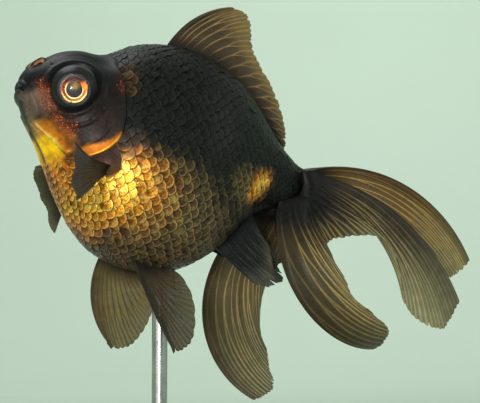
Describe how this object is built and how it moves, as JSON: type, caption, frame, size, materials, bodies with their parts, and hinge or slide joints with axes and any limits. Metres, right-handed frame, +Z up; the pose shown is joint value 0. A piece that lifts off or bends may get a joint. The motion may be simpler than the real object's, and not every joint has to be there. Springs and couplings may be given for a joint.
{
  "type": "fancy goldfish",
  "caption": "Still life-size fancy goldfish with a deep round body, tall dorsal fin and flowing double tail, held over a plain display stand.",
  "frame": {"origin": "centre of the stand base's underside, under the rod", "axes": "+X from the fish's snout towards its tail, +Z up, -Y the fish's left side"},
  "size_m": [0.1829, 0.078, 0.1602],
  "materials": {
    "head_skin": "damp black skin with copper cheeks and a yellow throat",
    "scales": "glossy scales, black over the back and metallic gold on the belly",
    "tail_stem_scales": "glossy dark scales with a gold patch",
    "gill_cover": "glossy dark bony plate with an orange lower edge",
    "fin_brown": "translucent golden brown membrane with fine pale rays",
    "fin_dark": "smoky black translucent membrane with fine rays",
    "eye": "clear cornea over a copper iris and dark pupil",
    "stand_wood": "dark satin wood",
    "stand_metal": "brushed steel"
  },
  "bodies": {
    "root": {"head": "head_skin", "trunk": "scales", "tail_stem": "tail_stem_scales", "gill_cover_left": "gill_cover", "gill_cover_right": "gill_cover", "eye_left": "eye", "eye_right": "eye", "nostril_flap_left": "head_skin", "nostril_flap_right": "head_skin", "dorsal_fin": "fin_brown", "pectoral_fin_left": "fin_dark", "pectoral_fin_right": "fin_dark", "pelvic_fin_left": "fin_brown", "pelvic_fin_right": "fin_brown", "anal_fin_left": "fin_dark", "anal_fin_right": "fin_dark", "tail_fin_upper_left": "fin_brown", "tail_fin_lower_left": "fin_brown", "tail_fin_upper_right": "fin_brown", "tail_fin_lower_right": "fin_brown", "stand_base": "stand_wood", "stand_rod": "stand_metal", "stand_collar": "stand_metal", "stand_cradle": "stand_metal"}
  },
  "joints": []
}
